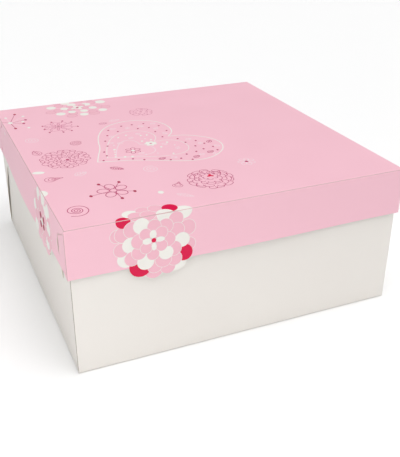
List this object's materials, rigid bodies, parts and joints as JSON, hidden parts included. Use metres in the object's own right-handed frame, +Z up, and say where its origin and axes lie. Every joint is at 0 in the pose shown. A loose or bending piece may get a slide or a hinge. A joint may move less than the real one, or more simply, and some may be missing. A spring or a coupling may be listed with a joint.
{
  "type": "flower gift box",
  "caption": "Square two-piece gift box for flowers: a printed folding-board lid with corner locks and die-cut flower edges on a plain base.",
  "frame": {"origin": "middle of the base's underside, on the table", "axes": "+X to the right along the front wall, +Y to the back, +Z up through the lid"},
  "size_m": [0.3, 0.3, 0.13],
  "materials": {
    "printed_lid_board": "satin",
    "white_base_board": "matte"
  },
  "bodies": {
    "base": {"base_back_left_lock_flap": "white_base_board", "base_back_left_tongue": "white_base_board", "base_back_right_lock_flap": "white_base_board", "base_back_right_tongue": "white_base_board", "base_back_wall": "white_base_board", "base_floor": "white_base_board", "base_front_left_lock_flap": "white_base_board", "base_front_left_tongue": "white_base_board", "base_front_right_lock_flap": "white_base_board", "base_front_right_tongue": "white_base_board", "base_front_wall": "white_base_board", "base_left_wall": "white_base_board", "base_right_wall": "white_base_board"},
    "lid": {"lid_back_wall": "printed_lid_board", "lid_front_wall": "printed_lid_board", "lid_left_wall": "printed_lid_board", "lid_right_wall": "printed_lid_board", "lid_top": "printed_lid_board"},
    "lid_front_left_lock": {"lid_front_left_lock_flap": "printed_lid_board", "lid_front_left_tongue": "printed_lid_board"},
    "lid_front_right_lock": {"lid_front_right_lock_flap": "printed_lid_board", "lid_front_right_tongue": "printed_lid_board"},
    "lid_back_left_lock": {"lid_back_left_lock_flap": "printed_lid_board", "lid_back_left_tongue": "printed_lid_board"},
    "lid_back_right_lock": {"lid_back_right_lock_flap": "printed_lid_board", "lid_back_right_tongue": "printed_lid_board"}
  },
  "joints": [
    {"name": "lid_lift", "type": "slide", "parent": "base", "child": "lid", "axis": [0, 0, 1], "range_m": [0, 0.15]},
    {"name": "lid_front_left_lock_swing", "type": "hinge", "parent": "lid", "child": "lid_front_left_lock", "pos_m": [-0.15, -0.15, 0.108], "axis": [0, 0, 1], "range_deg": [0, 90]},
    {"name": "lid_front_right_lock_swing", "type": "hinge", "parent": "lid", "child": "lid_front_right_lock", "pos_m": [0.15, -0.15, 0.108], "axis": [0, 0, -1], "range_deg": [0, 90]},
    {"name": "lid_back_left_lock_swing", "type": "hinge", "parent": "lid", "child": "lid_back_left_lock", "pos_m": [-0.15, 0.15, 0.108], "axis": [0, 0, -1], "range_deg": [0, 90]},
    {"name": "lid_back_right_lock_swing", "type": "hinge", "parent": "lid", "child": "lid_back_right_lock", "pos_m": [0.15, 0.15, 0.108], "axis": [0, 0, 1], "range_deg": [0, 90]}
  ]
}
